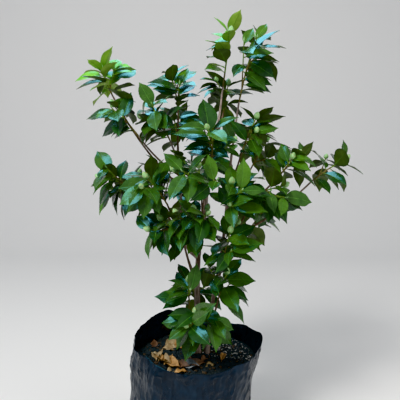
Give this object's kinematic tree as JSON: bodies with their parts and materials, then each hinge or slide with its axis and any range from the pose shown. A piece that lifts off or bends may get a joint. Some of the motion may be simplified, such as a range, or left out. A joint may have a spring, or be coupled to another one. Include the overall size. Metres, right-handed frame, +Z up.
{
  "type": "camellia shrub in a grow bag",
  "caption": "Young evergreen shrub with upright stems, glossy pointed leaves and green flower buds, growing in a tall black polythene bag of compost.",
  "frame": {"origin": "middle of the bag's flat underside, on the ground", "axes": "+Z up along the stems, -Y towards the shrub's front, +X towards the longer side arm"},
  "size_m": [0.7036, 0.4425, 1.0936],
  "materials": {
    "film": "satin",
    "compost": "matte",
    "bark": "matte",
    "young_bark": "matte",
    "foliage": "satin",
    "young_foliage": "satin"
  },
  "bodies": {
    "root": {"bough_back_high": "young_bark", "bough_back_left": "young_bark", "bough_back_low": "young_bark", "bough_back_low_right": "young_bark", "bough_back_mid": "young_bark", "bough_back_right": "young_bark", "bough_back_top": "young_bark", "bough_base_back": "young_bark", "bough_base_front": "young_bark", "bough_base_right": "young_bark", "bough_centre_high": "young_bark", "bough_centre_low": "young_bark", "bough_centre_mid": "young_bark", "bough_centre_right": "young_bark", "bough_left_high": "young_bark", "bough_left_low": "young_bark", "bough_left_mid": "young_bark", "bough_left_shoulder": "young_bark", "bough_left_spur": "young_bark", "bough_left_tip": "young_bark", "bough_right_arm": "young_bark", "bough_right_arm_up": "young_bark", "bough_right_low": "young_bark", "bough_right_mid": "young_bark", "bough_right_upper": "young_bark", "compost": "compost", "foliage_back_high": "foliage", "foliage_back_left": "foliage", "foliage_back_low": "foliage", "foliage_back_low_right": "foliage", "foliage_back_mid": "foliage", "foliage_back_right": "foliage", "foliage_back_top": "foliage", "foliage_base_back": "foliage", "foliage_base_front": "foliage", "foliage_base_right": "foliage", "foliage_centre_high": "foliage", "foliage_centre_low": "foliage", "foliage_centre_mid": "foliage", "foliage_centre_right": "foliage", "foliage_crown_right": "foliage", "foliage_crown_top": "young_foliage", "foliage_left_high": "young_foliage", "foliage_left_low": "foliage", "foliage_left_mid": "foliage", "foliage_left_shoulder": "foliage", "foliage_left_spur": "young_foliage", "foliage_left_tip": "foliage", "foliage_left_upper": "foliage", "foliage_right_arm": "foliage", "foliage_right_arm_up": "foliage", "foliage_right_low": "foliage", "foliage_right_mid": "foliage", "foliage_right_upper": "foliage", "foliage_sucker": "foliage", "grow_bag": "film", "stem_left": "bark", "stem_main": "bark", "stem_right": "bark", "stem_sucker": "bark"}
  },
  "joints": []
}
